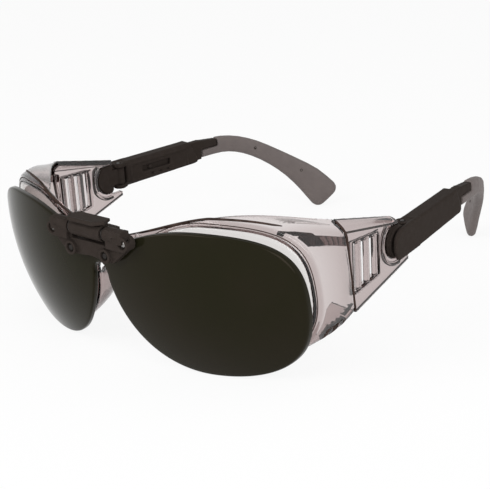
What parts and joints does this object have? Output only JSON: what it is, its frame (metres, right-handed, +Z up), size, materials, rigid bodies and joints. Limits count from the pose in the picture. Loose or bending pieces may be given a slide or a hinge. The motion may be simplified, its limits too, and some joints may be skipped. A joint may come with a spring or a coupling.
{
  "type": "flip-up welding spectacles",
  "caption": "Flip-up welding spectacles: deep smoky clear frame with vented side shields, a dark two-lobed visor on a bridge hinge, and tilting, folding, telescopic temples.",
  "frame": {"origin": "on the floor plane, under the middle of the bounding box of the open spectacles", "axes": "+X to the wearer's left, +Y to the back of the head, +Z up"},
  "size_m": [0.1464, 0.181, 0.0548],
  "materials": {
    "smoke_clear": "polished smoky transparent polycarbonate",
    "lens_clear": "polished clear polycarbonate",
    "visor_dark": "polished dark green filter plastic",
    "black_plastic": "satin moulded black",
    "grey_rubber": "soft matt grey",
    "steel": "bright formed steel"
  },
  "bodies": {
    "front": {"front_frame": "smoke_clear", "hinge_saddle": "black_plastic", "flip_pin": "steel", "clear_lens_left": "lens_clear", "side_shield_left": "smoke_clear", "saddle_screw_left": "steel", "friction_washer_left": "steel", "clear_lens_right": "lens_clear", "side_shield_right": "smoke_clear", "saddle_screw_right": "steel", "friction_washer_right": "steel"},
    "visor": {"flip_bracket": "black_plastic", "dark_visor": "visor_dark", "visor_rivet_upper_left": "steel", "rivet_washer_upper_left": "steel", "visor_rivet_lower_left": "steel", "rivet_washer_lower_left": "steel", "visor_rivet_upper_right": "steel", "rivet_washer_upper_right": "steel", "visor_rivet_lower_right": "steel", "rivet_washer_lower_right": "steel"},
    "block_left": {"hinge_block_left": "black_plastic"},
    "temple_left": {"temple_sleeve_left": "black_plastic", "fold_pin_left": "steel"},
    "slider_left": {"temple_slider_left": "black_plastic", "temple_tip_left": "grey_rubber"},
    "block_right": {"hinge_block_right": "black_plastic"},
    "temple_right": {"temple_sleeve_right": "black_plastic", "fold_pin_right": "steel"},
    "slider_right": {"temple_slider_right": "black_plastic", "temple_tip_right": "grey_rubber"}
  },
  "joints": [
    {"name": "flip_up", "type": "hinge", "parent": "front", "child": "visor", "pos_m": [0, -0.08682, 0.0485], "axis": [-1, 0, 0], "range_deg": [0, 90]},
    {"name": "temple_tilt_left", "type": "hinge", "parent": "front", "child": "block_left", "pos_m": [0.0693, -0.01432, 0.0348], "axis": [1, 0, 0], "range_deg": [-6, 8]},
    {"name": "temple_fold_left", "type": "hinge", "parent": "block_left", "child": "temple_left", "pos_m": [0.06758, -0.00829, 0.0348], "axis": [0, 0, 1], "range_deg": [0, 90]},
    {"name": "temple_length_left", "type": "slide", "parent": "temple_left", "child": "slider_left", "axis": [-0.134, 0.991, 0], "range_m": [-0.003, 0.009]},
    {"name": "temple_tilt_right", "type": "hinge", "parent": "front", "child": "block_right", "pos_m": [-0.0693, -0.01432, 0.0348], "axis": [1, 0, 0], "range_deg": [-6, 8]},
    {"name": "temple_fold_right", "type": "hinge", "parent": "block_right", "child": "temple_right", "pos_m": [-0.06758, -0.00829, 0.0348], "axis": [0, 0, -1], "range_deg": [0, 78]},
    {"name": "temple_length_right", "type": "slide", "parent": "temple_right", "child": "slider_right", "axis": [0.134, 0.991, 0], "range_m": [-0.003, 0.009]}
  ]
}
